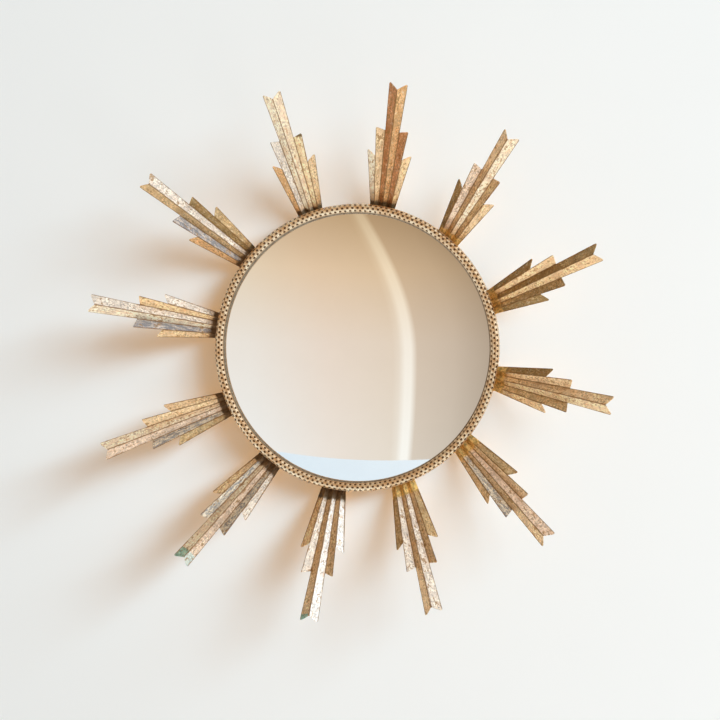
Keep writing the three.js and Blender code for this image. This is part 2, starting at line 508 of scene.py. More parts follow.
# The leaf's patterns: how far each is drawn out along a ray, its scale, detail and roughness.
LEAF_PATTERNS = {
    "fleck": (0.45, 0.42, 6, 0.72),
    "grain": (0.6, 0.65, 5, 0.72),
    "crumple": (0.5, 0.12, 3, 0.6),
    "patch": (1, 0.09, 5, 0.62),
    "streak": (0.16, 0.5, 5, 0.65),
}
PATTERN_MIDDLE = 0.5

# The leaf's tones, and where its patterns bring them out.
PALE_FLECK = (1.0, 0.84, 0.60, 1)
WARM_STREAK = (0.80, 0.58, 0.38, 1)
WORN_GREY = (0.20, 0.21, 0.24, 1)
FLECK_BROWN = (0.36, 0.20, 0.075, 1)
CREASE_BROWN = (0.30, 0.16, 0.06, 1)
TIP_STEP = (0.4, 0.6)
WARM_STEP = (0.52, 0.62)
WARM_SHARE = 0.6
WARM_WORN_LOSS = 0.5
PATCH_STEP = (0.35, 0.65, 0.85, 1.2)
CRUMPLE_STEP = (0.4, 0.6, 0.3, 1.0)
GRAIN_STEP = (0.38, 0.62, 0.55, 1.45)
PALE_STEP = (0.44, 0.36, 0.0, 0.5)
WORN_STREAK_GRAIN_WEIGHTS = (0.24, 0.6, 0.9)
WORN_STEP = (0.92, 0.99, 0.0, 0.85)
FLECK_PATCH_WEIGHTS = (1.0, 0.5)
SPOT_STEP = (0.81, 0.88, 0.0, 0.8)
CREASE_STEP = (0.4, 0.75, 0.0, 0.8)
ROOT_STEP = (0.3, 0.7, 0.0, 0.95)
ROOT_TONE_STEP = (0.6, 0.4, 0.45, 1.1)
ROOT_METAL_STEP = (0.0, 1.0, 0.9, 0.45)
LEAF_ROUGHNESS_STEP = (0.3, 1.3, 0.3, 0.6)
RELIEF_PATCH_FLECK_WEIGHTS = (2.0, 1.0)
LEAF_BUMP = (0.7, 0.4)


def leaf_pattern(tree, place, name):
    along, *pattern = LEAF_PATTERNS[name]
    return noise_node(tree, stretched(tree, place, (1, along, 1)), *pattern)


def leaf_tone(tree, patterns, worn, ragged):
    """The facets' and tips' finishes, with warm streaks, light and dark patches, and grain that is
    stronger where the leaf is crumpled. The facets' finishes also carry painted shade and highlights."""
    tip = attribute_output(tree, "tip")
    tip_edge = smooth_step(tree, math_node(tree, "ADD", tip, ragged), *TIP_STEP)
    # The facet's colour, partly painted shade and painted highlights.
    leaf = attribute_output(tree, "leaf", "Color")
    tip_leaf = attribute_output(tree, "tip_leaf", "Color")
    tone = mix_colour(tree, tip_edge, leaf, tip_leaf)
    worn_loss = math_node(tree, "MULTIPLY", worn, WARM_WORN_LOSS)
    warm_share = math_node(tree, "SUBTRACT", WARM_SHARE, worn_loss)
    warm = math_node(tree, "MULTIPLY", smooth_step(tree, patterns["streak"], *WARM_STEP), warm_share)
    tone = mix_colour(tree, warm, tone, WARM_STREAK, "MULTIPLY")
    patch_light = smooth_step(tree, patterns["patch"], *PATCH_STEP)
    tone = mix_colour(tree, 1.0, tone, patch_light, "MULTIPLY")
    crumpled = smooth_step(tree, patterns["crumple"], *CRUMPLE_STEP)
    grain_light = smooth_step(tree, patterns["grain"], *GRAIN_STEP)
    return mix_colour(tree, crumpled, tone, grain_light, "MULTIPLY")


def leaf_wear(tree, patterns, worn, tone):
    """Pale flecks, grey where the leaf is worn off, and brown spots."""
    fleck = patterns["fleck"]
    tone = mix_colour(tree, smooth_step(tree, fleck, *PALE_STEP), tone, PALE_FLECK)
    rubbed = weighted_sum(tree, (worn, patterns["streak"], patterns["grain"]), WORN_STREAK_GRAIN_WEIGHTS)
    tone = mix_colour(tree, smooth_step(tree, rubbed, *WORN_STEP), tone, WORN_GREY)
    spots = weighted_sum(tree, (fleck, patterns["patch"]), FLECK_PATCH_WEIGHTS)
    return mix_colour(tree, smooth_step(tree, spots, *SPOT_STEP), tone, FLECK_BROWN)


def gilt_leaf():
    """Crinkled leaf on sheet metal: streaked and flecked, worn to grey, with brown folds and less
    metallic roots, brass on some rays and painted shade on the rest."""
    material, tree, shader = new_material("gilt_leaf")
    place = attribute_output(tree, "place", "Vector")
    patterns = {name: leaf_pattern(tree, place, name) for name in LEAF_PATTERNS}
    fleck = patterns["fleck"]
    worn = attribute_output(tree, "worn")
    ragged = math_node(tree, "SUBTRACT", fleck, PATTERN_MIDDLE)
    tone = leaf_wear(tree, patterns, worn, leaf_tone(tree, patterns, worn, ragged))
    fold_edge = math_node(tree, "SUBTRACT", patterns["streak"], PATTERN_MIDDLE)
    crease = math_node(tree, "ADD", attribute_output(tree, "fold"), fold_edge)
    crease = smooth_step(tree, crease, *CREASE_STEP)
    tone = mix_colour(tree, crease, tone, CREASE_BROWN)
    root = attribute_output(tree, "root")
    root_edge = smooth_step(tree, math_node(tree, "ADD", root, ragged), *ROOT_STEP)
    # The root's colour: brass on some rays, painted shade on the rest.
    root_leaf_and_shade = attribute_output(tree, "root_leaf_and_shade", "Color")
    root_light = smooth_step(tree, fleck, *ROOT_TONE_STEP)
    root_brass_and_shade = mix_colour(tree, 1.0, root_leaf_and_shade, root_light, "MULTIPLY")
    tone = mix_colour(tree, root_edge, tone, root_brass_and_shade)
    metallic = smooth_step(tree, root_edge, *ROOT_METAL_STEP)
    dulled = math_node(tree, "ADD", patterns["grain"], crease)
    roughness = smooth_step(tree, dulled, *LEAF_ROUGHNESS_STEP)
    relief = weighted_sum(tree, (patterns["patch"], fleck), RELIEF_PATCH_FLECK_WEIGHTS)
    crinkle = bump_node(tree, relief, *LEAF_BUMP)
    feed(tree, shader, Base_Color=tone, Metallic=metallic, Roughness=roughness, Normal=crinkle)
    return material


# The rim's gilt outside
RIM_PINK = (0.80, 0.55, 0.33, 1)
RIM_CREAM = (0.96, 0.80, 0.58, 1)
RIM_GRIME_AND_SHADE = (0.26, 0.13, 0.055, 1)
RIM_PATCH_NOISE = (0.1, 4)
RIM_PATCH_STEP = (0.4, 0.6)
RIM_SPECKLE_NOISE = (0.9, 5, 0.7)
RIM_SUNK_SPECKLE_WEIGHTS = (1.0, 0.7)
RIM_GRIME_AND_SHADE_STEP = (0.45, 1.0, 0.0, 0.92)
RIM_ROUGHNESS_STEP = (0.3, 1.3, 0.2, 0.5)
RIM_BUMP = (0.4, 0.2)


def gilt_rim():
    """Pinkish to cream gilt: bright on the raised rings round the holes, brown at the holes' edges
    and between the rings: partly grime, partly painted shade in those hollows."""
    material, tree, shader = new_material("gilt_rim")
    place = object_place(tree)
    patch = noise_node(tree, place, *RIM_PATCH_NOISE)
    speckle = noise_node(tree, place, *RIM_SPECKLE_NOISE)
    tone = mix_colour(tree, smooth_step(tree, patch, *RIM_PATCH_STEP), RIM_PINK, RIM_CREAM)
    # Brown in the hollows round the holes and between the rings: partly grime, partly painted shade.
    sunk = attribute_output(tree, "sunk")
    dark = weighted_sum(tree, (sunk, speckle), RIM_SUNK_SPECKLE_WEIGHTS)
    grime_and_shade = smooth_step(tree, dark, *RIM_GRIME_AND_SHADE_STEP)
    tone = mix_colour(tree, grime_and_shade, tone, RIM_GRIME_AND_SHADE)
    roughness = smooth_step(tree, math_node(tree, "ADD", speckle, grime_and_shade), *RIM_ROUGHNESS_STEP)
    bump = bump_node(tree, speckle, *RIM_BUMP)
    feed(tree, shader, Base_Color=tone, Metallic=1.0, Roughness=roughness, Normal=bump)
    return material


# The rim's lip, painted dark as the shade at the glass's edge
LIP_SHADE_LIGHTER = (0.34, 0.27, 0.19, 1)
LIP_SHADE_DARKER = (0.18, 0.13, 0.09, 1)
LIP_METALLIC = 0.7
LIP_SPECKLE_NOISE = (0.4, 5, 0.7)
LIP_TONE_STEP = (0.4, 0.7)
LIP_ROUGHNESS_STEP = (0.3, 0.7, 0.3, 0.45)


def rim_lip_shade():
    """The plain lip at the glass, dull and brown, painted dark as the shade along the glass's edge."""
    material, tree, shader = new_material("rim_lip_shade")
    speckle = noise_node(tree, object_place(tree), *LIP_SPECKLE_NOISE)
    # Painted shade: the lip's dark browns stand for the shade at the glass's edge.
    tone = mix_colour(tree, smooth_step(tree, speckle, *LIP_TONE_STEP), LIP_SHADE_LIGHTER, LIP_SHADE_DARKER)
    roughness = smooth_step(tree, speckle, *LIP_ROUGHNESS_STEP)
    feed(tree, shader, Base_Color=tone, Metallic=LIP_METALLIC, Roughness=roughness)
    return material


# The rim's inside, painted near black as shade
INSIDE_SHADE_DARK = (0.035, 0.018, 0.010, 1)
INSIDE_SHADE_BROWN = (0.09, 0.05, 0.028, 1)
INSIDE_METALLIC = 0.2
INSIDE_ROUGHNESS = 0.85
INSIDE_SCALE = 0.3


def rim_inside_shade():
    """The dull inside of the rim, painted near black for the shade seen through its holes."""
    material, tree, shader = new_material("rim_inside_shade")
    patch = noise_node(tree, object_place(tree), INSIDE_SCALE)
    tone = mix_colour(tree, patch, INSIDE_SHADE_DARK, INSIDE_SHADE_BROWN)
    feed(tree, shader, Base_Color=tone, Metallic=INSIDE_METALLIC, Roughness=INSIDE_ROUGHNESS)
    return material


# The glass's silvering
GLASS_DIM = (0.93, 0.92, 0.91, 1)
GLASS_BRIGHT = (0.97, 0.96, 0.95, 1)
GLASS_HAZE_NOISE = (0.03, 3)
GLASS_ROUGHNESS_STEP = (0.3, 0.7, 0.012, 0.03)


def silvered_glass():
    """Silvering behind clear glass, with a faint haze."""
    material, tree, shader = new_material("silvered_glass")
    haze = noise_node(tree, object_place(tree), *GLASS_HAZE_NOISE)
    tone = mix_colour(tree, haze, GLASS_DIM, GLASS_BRIGHT)
    roughness = smooth_step(tree, haze, *GLASS_ROUGHNESS_STEP)
    feed(tree, shader, Base_Color=tone, Metallic=1.0, Roughness=roughness)
    return material


# The pan's paint
PAN_DARK = (0.17, 0.12, 0.07, 1)
PAN_BRONZE = (0.26, 0.19, 0.11, 1)
PAN_RUBBED = (0.45, 0.36, 0.24, 1)
PAN_METALLIC = 0.5
PAN_CLOUD_NOISE = (0.02, 5)
PAN_CLOUD_STEP = (0.35, 0.65)
PAN_SPECKLE_NOISE = (0.5, 6, 0.7)
PAN_RUB_STEP = (0.56, 0.7, 0.0, 0.6)
PAN_ROUGHNESS_STEP = (0.3, 0.7, 0.42, 0.65)
PAN_BUMP = (0.25, 0.1)


def pan_paint():
    """Dull bronze paint on drawn sheet metal, rubbed and spotted."""
    material, tree, shader = new_material("pan_paint")
    place = object_place(tree)
    cloud = noise_node(tree, place, *PAN_CLOUD_NOISE)
    speckle = noise_node(tree, place, *PAN_SPECKLE_NOISE)
    tone = mix_colour(tree, smooth_step(tree, cloud, *PAN_CLOUD_STEP), PAN_DARK, PAN_BRONZE)
    rub = smooth_step(tree, speckle, *PAN_RUB_STEP)
    tone = mix_colour(tree, rub, tone, PAN_RUBBED)
    roughness = smooth_step(tree, speckle, *PAN_ROUGHNESS_STEP)
    bump = bump_node(tree, speckle, *PAN_BUMP)
    feed(tree, shader, Base_Color=tone, Metallic=PAN_METALLIC, Roughness=roughness, Normal=bump)
    return material


# The rays

def fold_lines(along):
    """How far the fold lines stand from the middle ridge, at a place along the ray."""
    lines = [0.0]
    for flare in FACET_FLARES:
        lines.append(lines[-1] + FACET_ROOT_WIDTH + flare * along)
    return lines


def facet_at(across, along):
    """The facet, counted from the middle, and the distances to its inner and outer fold line."""
    lines = fold_lines(along)
    reach = abs(across)
    facet = 0
    while facet + 2 < len(lines) and reach > lines[facet + 1]:
        facet += 1
    return facet, reach - lines[facet], lines[facet + 1] - reach


def sheet_height(across, along):
    """The height of the pleated sheet over its middle plane, with softened folds."""
    facet, inner, outer = facet_at(across, along)
    pleat = (FACET_ROOT_WIDTH + PLEAT_FLARE * along) / 2 * PLEAT_SLOPE
    rise = -1 if facet % 2 else 1
    height = rise * pleat * (outer - inner) / (outer + inner)
    soft_inner = math.hypot(inner, FOLD_RADIUS) - abs(inner)
    soft_outer = math.hypot(outer, FOLD_RADIUS) - abs(outer)
    return height - rise * PLEAT_SLOPE * (soft_inner - soft_outer)


def ray_matrix(number):
    """Places a ray's own millimetres, x right, y outward and z to the viewer, on the wall."""
    shift, lean, swing, roll = (math.radians(angle) for angle in RAY_BENDS[number])
    turn = math.radians(FIRST_RAY - FULL_TURN / RAY_COUNT * number - FULL_TURN / 4) + shift
    hang = Matrix.Rotation(math.pi / 2, 4, "X")
    spoke = Matrix.Translation((0, -RAY_RING_DROP, 0)) @ Matrix.Rotation(turn, 4, "Z")
    root = Matrix.Translation((0, RAY_ROOT_RADIUS, RAY_ROOT_DEPTH))
    bend = Matrix.Rotation(lean, 4, "X") @ Matrix.Rotation(swing, 4, "Z") @ Matrix.Rotation(roll, 4, "Y")
    return Matrix.Scale(MM, 4) @ hang @ spoke @ root @ bend


def root_along(matrix, across):
    """Where the ray's sheet meets the pan's wall, at a place across the ray."""
    wall = (PAN_WALL_RADIUS + ROOT_GAP) * MM
    low = -ROOT_SEARCH
    high = 0.0
    for halving in range(ROOT_HALVINGS):
        middle = (low + high) / 2
        point = matrix @ Vector((across, middle, sheet_height(across, middle)))
        if math.hypot(point.x, point.z) < wall:
            low = middle
        else:
            high = middle
    return high


def root_outline(matrix):
    """The root's edge at the pan's wall, from the ray's right to its left."""
    reach = fold_lines(ROOT_WIDTH_PLACE)[-1]
    root = []
    for step in range(ROOT_POINTS + 1):
        across = reach * (1 - 2 * step / ROOT_POINTS)
        root.append(Vector((across, root_along(matrix, across))))
    return root


def rounded(before, corner, after):
    start = corner + (before - corner).normalized() * CORNER_RADIUS
    end = corner + (after - corner).normalized() * CORNER_RADIUS
    shares = [step / CORNER_STEPS for step in range(CORNER_STEPS + 1)]
    return [start * (1 - s) ** 2 + corner * 2 * s * (1 - s) + end * s ** 2 for s in shares]


def half_outline():
    """The right half of a ray's outline, from the notch at its middle out and down to its root."""
    corners = []
    for facet, length in enumerate(FACET_LENGTHS):
        inner = length - FACET_CUT_BACK
        corners.append(Vector((fold_lines(inner)[facet], inner)))
        corners.append(Vector((fold_lines(length)[facet + 1], length)))
    corners.append(Vector((fold_lines(0)[-1], 0)))
    outline = corners[:1]
    for i in range(1, len(corners) - 1):
        is_tip = i % 2
        outline += rounded(*corners[i - 1:i + 2]) if is_tip else [corners[i]]
    return outline


def divided(outline):
    """The outline with points added along its long edges."""
    points = []
    for start, end in zip(outline, outline[1:] + outline[:1]):
        count = max(1, round((end - start).length / SHEET_STEP))
        points += [start.lerp(end, step / count) for step in range(count)]
    return points


def flipped(points):
    """The same points on the left of the ray's middle ridge."""
    return [Vector((-point.x, point.y)) for point in points]


def sheet_rows(lowest):
    """Points inside the right half of a ray, in rows from the root up to the cut edge."""
    inside = []
    for facet, length in enumerate(FACET_LENGTHS):
        for step in range(int((length - lowest) / SHEET_STEP)):
            along = lowest + (step + FIRST_ROW_SHARE) * SHEET_STEP
            lines = fold_lines(along)
            width = lines[facet + 1] - lines[facet]
            middles = [width * share for share in MIDDLE_ROW_SHARES]
            for inset in [0, *FOLD_ROWS, *middles, *(width - row for row in FOLD_ROWS)]:
                end = length - FACET_CUT_BACK * (1 - inset / width) - EDGE_CLEARANCE
                if along < min(end, length - TIP_CLEARANCE):
                    inside.append(Vector((lines[facet] + inset, along)))
    return inside


def ray_plan(matrix):
    """Points and triangles of a flattened ray, as (across, along) pairs."""
    right = half_outline()
    root = root_outline(matrix)
    outline = divided(right + root + flipped(reversed(right[1:])))
    inside = sheet_rows(max(point.y for point in root))
    both = inside + flipped(point for point in inside if point.x > 0)
    boundary = list(range(len(outline)))
    result = delaunay_2d_cdt(outline + both, [], [boundary], INSIDE_ONLY, PLAN_MERGE)
    return result[0], [tuple(face) for face in result[2]]


def facet_number(across, along):
    """Facets one to six, from the left of the ray to its right."""
    facet = facet_at(across, along)[0]
    return SIDE_FACETS + 1 + facet if across > 0 else SIDE_FACETS - facet


def tip_share(ray, facet, along):
    """How far a place on a facet lies in a tip of another finish, from 0 to 1."""
    if (ray, facet) not in RAY_TIPS:
        return 0.0
    reach = RAY_TIPS[ray, facet][1]
    from_middle = facet - SIDE_FACETS - 1 if facet > SIDE_FACETS else SIDE_FACETS - facet
    length = FACET_LENGTHS[from_middle]
    return min(1.0, max(0.0, 0.5 + (along - length + reach) / TIP_BLUR))


def tip_finish(ray, facet):
    """The finish of a facet's tip, which doesn't show on a facet without one."""
    return RAY_TIPS[ray, facet][0] if (ray, facet) in RAY_TIPS else NO_TIP_FINISH


def root_share(along):
    """How far a place along a ray lies in its root, from 0 to 1."""
    near, far = ROOT_REACH
    return min(1.0, max(0.0, (far - along) / (far - near)))


def colour(finish):
    return (*FINISHES[finish][0], 1.0)


def set_places(piece, ray, places):
    """Keeps each point's place on the flat sheet, and how far it lies in a fold, a tip or the root."""
    folds = []
    tips = []
    for place in places:
        facet, inner, outer = facet_at(place.x, place.y)
        folds.append(max(0.0, 1 - min(inner, outer) / FOLD_WEAR_WIDTH))
        tips.append(tip_share(ray, facet_number(place.x, place.y), place.y))
    sliced = [(place.x, place.y, LEAF_SLICE * ray) for place in places]
    set_attribute(piece, "place", "FLOAT_VECTOR", "POINT", sliced)
    set_attribute(piece, "fold", "FLOAT", "POINT", folds)
    set_attribute(piece, "tip", "FLOAT", "POINT", tips)
    set_attribute(piece, "root", "FLOAT", "POINT", [root_share(place.y) for place in places])


def set_finishes(piece, ray, places, faces):
    """Keeps each face's finishes: its facet's, its tip's and its root's, or the plain one of the back.
    The facets' also carry painted shade and highlights, and most roots' are painted shade.
    """
    finishes = RAY_FINISHES_AND_SHADING[ray - 1].split()
    back_start = len(places) // 2
    layers = {"leaf": [], "tip_leaf": [], "root_leaf_and_shade": []}
    for face in faces:
        centre = face_centre(places, face)
        facet = facet_number(centre.x, centre.y)
        is_back = min(face) >= back_start
        fronts = (finishes[facet - 1], tip_finish(ray, facet), ROOT_BRASS_AND_SHADE[ray - 1])
        for names, front in zip(layers.values(), fronts):
            names.append(BACK_FINISH if is_back else front)
    set_attribute(piece, "worn", "FLOAT", "FACE", [FINISHES[finish][1] for finish in layers["leaf"]])
    for layer, names in layers.items():
        set_attribute(piece, layer, "FLOAT_COLOR", "FACE", [colour(finish) for finish in names])


def add_ray(number, material):
    """One pleated ray, with its facets' finishes kept as attributes."""
    ray = number + 1
    matrix = ray_matrix(number)
    plan, triangles = ray_plan(matrix)
    skin = []
    for place in plan:
        dent_place = Vector((place.x / DENT_SIZE, place.y / DENT_SIZE, DENT_SLICE * ray))
        dent = DENT_DEPTH * noise.noise(dent_place)
        skin.append(Vector((place.x, place.y, sheet_height(place.x, place.y) + dent)))
    points, faces = thickened(skin, triangles, RAY_SHEET)
    name = f"ray_{ray:02d}"
    placed = [matrix @ point for point in points]
    piece = add_object(f"gilt_{name}", placed, faces, [material], RAY_SHARP_ANGLE)
    places = list(plan) + list(plan)
    set_places(piece, ray, places)
    set_finishes(piece, ray, places, faces)
    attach(piece, "root")
    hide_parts(name)


# The rim

def band_point(around, over, lift):
    """A point on the band: an angle around the mirror, an angle over the band from its crest
    outward, and a lift off it."""
    radius = rim_middle + (rim_tube + lift) * math.sin(over)
    depth = rim_foot + (rim_tube + lift) * math.cos(over)
    return ring_point(around, radius, depth)


def square_ring(share):
    """A place on a square's edge, from -1 to 1 each way, at a share of the way round."""
    side, rest = divmod(share * CELL_SIDES, 1)
    run = 2 * rest - 1
    return ((1, run), (-run, 1), (-1, -run), (run, -1))[int(side) % CELL_SIDES]


def hole_cell(around, over, half_around, half_over):
    """Three rings of points round a hole: its edge, a ring between and the cell's own edge."""
    rings = [[] for blend in RING_BLENDS]
    for i in range(HOLE_SIDES):
        share = (i / HOLE_SIDES + FIRST_POINT_SHARE) % 1
        square = square_ring(share)
        angle = 2 * math.pi * (share + CELL_CORNER_TURN)
        circle = (math.cos(angle) * HOLE_RADIUS / rim_middle / half_around,
                  math.sin(angle) * HOLE_RADIUS / rim_tube / half_over)
        for ring, blend, lift in zip(rings, RING_BLENDS, RING_LIFTS):
            u = circle[0] * (1 - blend) + square[0] * blend
            v = circle[1] * (1 - blend) + square[1] * blend
            ring.append(band_point(around + u * half_around, over + v * half_over, lift))
    return rings


def edge_points(around, side):
    """Points across one edge of the band: the outer one down to its skirt, the inner one to the lip."""
    edge = side * math.radians(HOLE_ROW_ANGLE) * len(HOLE_ROWS) / 2
    wave = RIM_EDGE_WAVE * math.cos(around * HOLES_PER_ROW)
    points = [
        band_point(around, edge, RING_LIFTS[-1]),
        band_point(around, side * math.radians(RIM_EDGE_ANGLE), wave),
        band_point(around, side * math.pi / 2, 0.0),
    ]
    if side > 0:
        return [*points, ring_point(around, rim_radius, rim_skirt)]
    lip_low = seat_depth - LIP_GLASS_GAP
    return [
        *points,
        ring_point(around, lip_radius + RIM_LIP, lip_low + LIP_RISE),
        ring_point(around, lip_radius, lip_low),
    ]


def pierced_band():
    """The pierced part of the band, cell by cell."""
    pitch = 2 * math.pi / HOLES_PER_ROW
    half_over = math.radians(HOLE_ROW_ANGLE) / 2
    points = []
    faces = []
    for row in HOLE_ROWS:
        stagger = 0.5 * (row % 2)
        for hole in range(HOLES_PER_ROW):
            rings = hole_cell((hole + stagger) * pitch, row * 2 * half_over, pitch / 2, half_over)
            for inner, outer in zip(rings, rings[1:]):
                low = len(points)
                high = low + HOLE_SIDES
                points += inner + outer
                for i in range(HOLE_SIDES):
                    j = (i + 1) % HOLE_SIDES
                    faces.append((low + j, high + j, high + i, low + i))
    return points, faces


def rim_skin():
    """The pierced band with its plain edges, as a skin of merged points."""
    points, faces = pierced_band()
    columns = HOLES_PER_ROW * HOLE_SIDES // CELL_SIDES
    for side in (-1, 1):
        strips = [edge_points(column * 2 * math.pi / columns, side) for column in range(columns)]
        quads = strip_faces(columns, len(strips[0]), len(points))
        points += [point for strip in strips for point in strip]
        faces += quads if side > 0 else [quad[::-1] for quad in quads]
    return welded(points, faces, SEAM_WELD)


def rim_sunk(point):
    """How far a point of the rim lies under the band's raised metal, from 0 to 1."""
    rise = math.hypot(math.hypot(point.x, point.z) - rim_middle, -point.y - rim_foot) - rim_tube
    deepest = min(RING_LIFTS)
    highest = max(RING_LIFTS)
    return min(1.0, max(0.0, (highest - rise) / (highest - deepest)))


def add_rim():
    """The pierced rim, with its outside, its inside and its lip, both painted dark as shade."""
    skin, skin_faces = rim_skin()
    points, faces = thickened(skin, skin_faces, RIM_SHEET)
    materials = [gilt_rim(), rim_inside_shade(), rim_lip_shade()]
    outside, inside, lip = range(len(materials))
    placed = [point * MM for point in points]
    piece = add_object("pierced_gilt_rim", placed, faces, materials, RIM_SHARP_ANGLE)
    count = len(skin_faces)
    numbers = []
    for index, face in enumerate(faces):
        widest = max(math.hypot(points[corner].x, points[corner].z) for corner in face)
        is_lip = widest < lip_radius + RIM_LIP + LIP_MARGIN
        is_inside = count <= index < 2 * count
        numbers.append(lip if is_lip else inside if is_inside else outside)
    piece.data.polygons.foreach_set("material_index", numbers)
    set_attribute(piece, "sunk", "FLOAT", "POINT", [rim_sunk(point) for point in points])
    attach(piece, "root")
    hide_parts("pierced_rim")


# The glass and the pan

def dome_arc(radius, edge_depth, steps):
    """Points of (radius, depth) on a dome, from its middle to its edge."""
    sphere = (radius ** 2 + GLASS_BULGE ** 2) / (2 * GLASS_BULGE)
    spread = math.asin(radius / sphere)
    arc = []
    for step in range(steps + 1):
        angle = max(spread * step / steps, GLASS_FIRST_ANGLE)
        arc.append((sphere * math.sin(angle), edge_depth + GLASS_BULGE - sphere * (1 - math.cos(angle))))
    return arc


def add_glass():
    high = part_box("mirror_glass")[1]
    radius = high.x / MM
    back_depth = -high.y / MM
    front = dome_arc(radius, back_depth + GLASS_THICKNESS, GLASS_FRONT_STEPS)
    back = dome_arc(radius, back_depth, GLASS_BACK_STEPS)
    skin, faces = turned(front + back[::-1], ROUND_STEPS)
    points, faces = welded(skin, faces, FINE_WELD)
    faces = [tuple(dict.fromkeys(face)) for face in faces]
    piece = add_object("convex_glass", [point * MM for point in points], faces, [silvered_glass()])
    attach(piece, "root")
    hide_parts("mirror_glass")


def arc_points(height, radius, start, sweep, steps):
    """Points on an arc about a place on the upright middle line, as (across, height) pairs."""
    angles = [start + sweep * step / steps for step in range(steps + 1)]
    return [Vector((radius * math.cos(angle), height + radius * math.sin(angle))) for angle in angles]


def keyhole_outline():
    """The keyhole: a round entry below a narrow slot, as (across, height) pairs."""
    half = KEYHOLE_SLOT_WIDTH / 2
    shoulder = math.asin(half / KEYHOLE_ENTRY_RADIUS)
    top = arc_points(KEYHOLE_HEIGHT + KEYHOLE_SLOT_RISE, half, 0, math.pi, KEYHOLE_STEPS)
    entry = arc_points(KEYHOLE_HEIGHT, KEYHOLE_ENTRY_RADIUS, math.pi / 2 + shoulder,
                       2 * math.pi - 2 * shoulder, 2 * KEYHOLE_STEPS)
    return top + entry


def in_keyhole(place):
    """Whether a place on the pan's back lies in the keyhole, with a little to spare."""
    half = KEYHOLE_SLOT_WIDTH / 2
    top = KEYHOLE_HEIGHT + KEYHOLE_SLOT_RISE
    in_entry = math.hypot(place.x, place.y - KEYHOLE_HEIGHT) < KEYHOLE_ENTRY_RADIUS * KEYHOLE_INSIDE
    in_slot = abs(place.x) < half * KEYHOLE_INSIDE and KEYHOLE_HEIGHT < place.y < top
    in_top = math.hypot(place.x, place.y - top) < half * KEYHOLE_TOP_INSIDE
    return in_entry or in_slot or in_top


def back_disc(radius):
    """The flat back of the pan with its keyhole, as points and triangles."""
    angles = [2 * math.pi * step / ROUND_STEPS for step in range(ROUND_STEPS)]
    outline = [Vector((radius * math.cos(angle), radius * math.sin(angle))) for angle in angles]
    keyhole = keyhole_outline()
    inner = list(range(ROUND_STEPS, ROUND_STEPS + len(keyhole)))
    edges = list(zip(inner, inner[1:] + inner[:1]))
    outer = list(range(ROUND_STEPS))
    result = delaunay_2d_cdt(outline + keyhole, edges, [outer], INSIDE_ONLY, KEYHOLE_MERGE)
    places = result[0]
    faces = [tuple(reversed(face)) for face in result[2] if not in_keyhole(face_centre(places, face))]
    return [Vector((place.x, 0, place.y)) for place in places], faces


def pan_profile(depth, flange):
    """The pan's outside from its flat back to its flange, as (radius, depth) pairs."""
    across, deep = PAN_CORNER
    flat = PAN_WALL_RADIUS - across
    corner = []
    for step in range(PAN_CORNER_STEPS + 1):
        angle = math.pi / 2 * step / PAN_CORNER_STEPS
        corner.append((flat + across * math.sin(angle), deep - deep * math.cos(angle)))
    return [*corner, (PAN_WALL_RADIUS, depth - PAN_SHEET), (flange, depth - PAN_SHEET)]


def add_pan():
    """The pan: a drawn dish with a keyhole in its back and a flange under the rim."""
    low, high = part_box("back_pan")
    profile = pan_profile(-low.y / MM, high.x / MM)
    flat = profile[0][0]
    wall_points, wall_faces = turned(profile, ROUND_STEPS)
    disc_points, disc_faces = back_disc(flat)
    start = len(wall_points)
    faces = [face[::-1] for face in wall_faces]
    faces += [tuple(index + start for index in face) for face in disc_faces]
    skin, skin_faces = welded(wall_points + disc_points, faces, SEAM_WELD)
    points, faces = thickened(skin, skin_faces, PAN_SHEET)
    placed = [point * MM for point in points]
    piece = add_object("painted_pan", placed, faces, [pan_paint()], PAN_SHARP_ANGLE)
    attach(piece, "root")
    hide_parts("back_pan")


# The studio

PLASTER_NOISE = (0.004, 3)
PLASTER_SHADE = 0.97
PLASTER_ROUGHNESS = 0.9


def plaster(name, tone):
    """Plain paint with a faint unevenness."""
    material, tree, shader = new_material(name)
    cloud = noise_node(tree, object_place(tree), *PLASTER_NOISE)
    darker = tuple(PLASTER_SHADE * value for value in tone)
    paint = mix_colour(tree, cloud, (*darker, 1), (*tone, 1))
    feed(tree, shader, Base_Color=paint, Roughness=PLASTER_ROUGHNESS)
    return material, tree, shader


def floor_paint():
    """Dark floor paint with a glow, brighter by the wall, that stands in for a sunlit floor."""
    material, tree, shader = plaster("floor_paint", FLOOR_TONE)
    off_wall = node(tree, "SeparateXYZ", {0: object_place(tree)}).outputs[1]
    near = smooth_step(tree, off_wall, *FLOOR_GLOW_RANGE)
    glow = mix_colour(tree, near, FLOOR_FAR_GLOW, FLOOR_NEAR_GLOW)
    feed(tree, shader, Emission_Color=glow, Emission_Strength=1.0)
    return material


def wall_plaster():
    """Wall paint that shows from the front alone and lets through rays that start close to it, so that
    the mirror's back can be seen and is lit."""
    material, tree, shader = plaster("wall_plaster", WALL_TONE)
    output = next(made for made in tree.nodes if made.type == "OUTPUT_MATERIAL")
    behind = node(tree, "NewGeometry").outputs["Backfacing"]
    ray_length = node(tree, "LightPath").outputs["Ray Length"]
    close = math_node(tree, "LESS_THAN", ray_length, WALL_CLOSE_RAY * MM)
    see_through = math_node(tree, "MAXIMUM", behind, close)
    clear = node(tree, "BsdfTransparent")
    mixed = node(tree, "MixShader", {0: see_through, 1: shader.outputs[0], 2: clear.outputs[0]})
    tree.links.new(mixed.outputs[0], output.inputs["Surface"])
    return material


